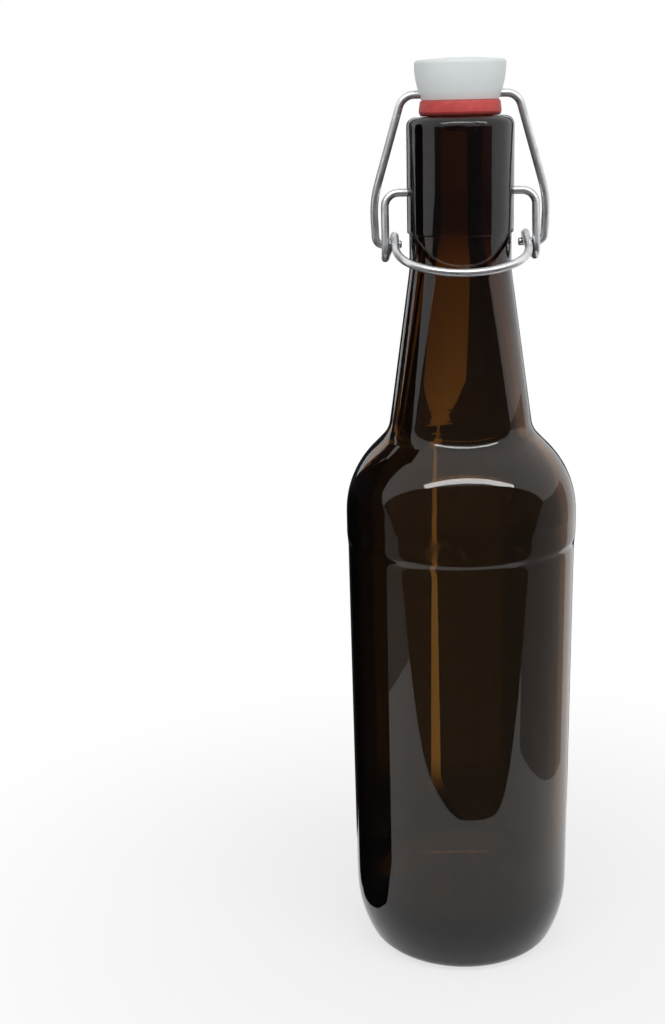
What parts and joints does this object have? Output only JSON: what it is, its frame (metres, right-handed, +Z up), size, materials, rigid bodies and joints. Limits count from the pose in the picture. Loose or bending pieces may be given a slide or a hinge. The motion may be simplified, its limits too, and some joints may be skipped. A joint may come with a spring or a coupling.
{
  "type": "swing top bottle",
  "caption": "Amber glass bottle with a wire swing-top closure: a pivoting lever wire pulls a bail and a plastic stopper with a rubber gasket onto the mouth.",
  "frame": {"origin": "centre of the base, on the plane that the bottle stands on", "axes": "+Z up along the bottle's axis, X along the pivots of both wires, the thumb loop of the lever towards -Y"},
  "size_m": [0.0694, 0.0694, 0.2734],
  "materials": {
    "amber_glass": "clear, glossy",
    "lever_steel": "bright zinc coat on drawn wire",
    "bail_steel": "bright zinc coat on drawn wire",
    "white_plastic": "satin moulded",
    "red_rubber": "matte moulded"
  },
  "bodies": {
    "bottle": {"bottle": "amber_glass"},
    "lever": {"lever_wire": "lever_steel"},
    "bail": {"bail_wire": "bail_steel"},
    "stopper": {"stopper": "white_plastic", "gasket": "red_rubber"}
  },
  "joints": [
    {"name": "lever_swing", "type": "hinge", "parent": "bottle", "child": "lever", "pos_m": [0, 0, 0.2364], "axis": [-1, 0, 0], "range_deg": [0, 210]},
    {"name": "bail_swing", "type": "hinge", "parent": "lever", "child": "bail", "pos_m": [0, 0.00103, 0.22164], "axis": [-1, 0, 0], "range_deg": [-136.5, 0]},
    {"name": "stopper_turn", "type": "hinge", "parent": "bail", "child": "stopper", "pos_m": [0, 0, 0.2635], "axis": [-1, 0, 0], "range_deg": [-73.5, 0]}
  ],
  "couplings": [
    {"joint": "bail_swing", "follows": "lever_swing", "ratio": -0.65},
    {"joint": "stopper_turn", "follows": "lever_swing", "ratio": -0.35}
  ]
}
